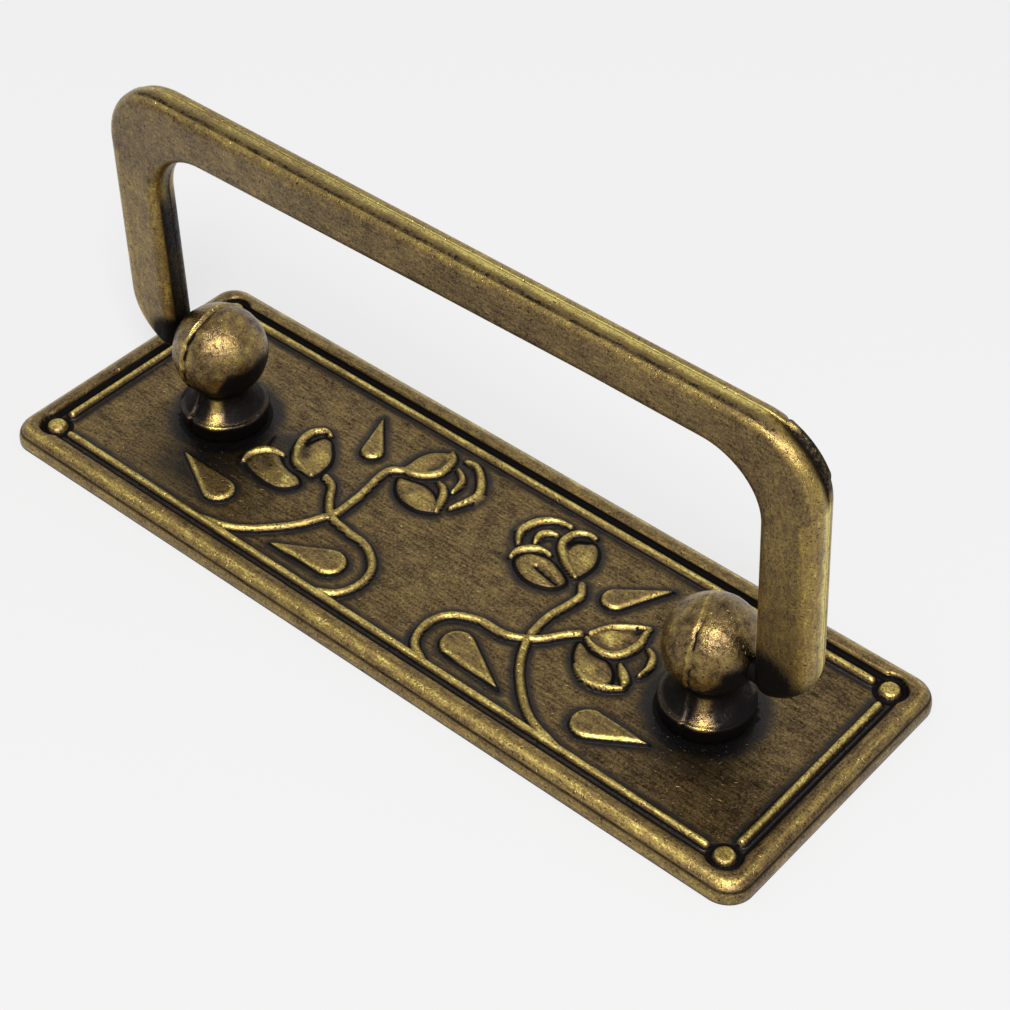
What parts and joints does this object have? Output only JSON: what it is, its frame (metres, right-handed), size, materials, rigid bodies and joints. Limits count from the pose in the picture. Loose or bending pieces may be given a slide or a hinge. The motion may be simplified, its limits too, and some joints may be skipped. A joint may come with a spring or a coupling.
{
  "type": "bail pull",
  "caption": "Drawer pull: oblong backplate with a rolled rim and raised floral sprays, ball posts, and a swinging squared bail handle, in antiqued brass.",
  "frame": {"origin": "middle of the backplate's flat back, which lies on the drawer front", "axes": "+X along the backplate's length, from post to post; +Y across the backplate; +Z out of the drawer front"},
  "size_m": [0.0956, 0.0338, 0.0416],
  "materials": {
    "plate_brass": "antiqued: brown field, dark recesses, rubbed bright edges",
    "post_brass": "antiqued, rubbed bright on the balls, dark round the feet",
    "bail_brass": "antiqued, satin faces with rubbed edges"
  },
  "bodies": {
    "plate_and_posts": {"backplate": "plate_brass", "left_post": "post_brass", "right_post": "post_brass"},
    "bail": {"bail": "bail_brass"}
  },
  "joints": [
    {"name": "bail_swing", "type": "hinge", "parent": "plate_and_posts", "child": "bail", "pos_m": [0, 0, 0.01045], "axis": [1, 0, 0], "range_deg": [-109, 102]}
  ]
}
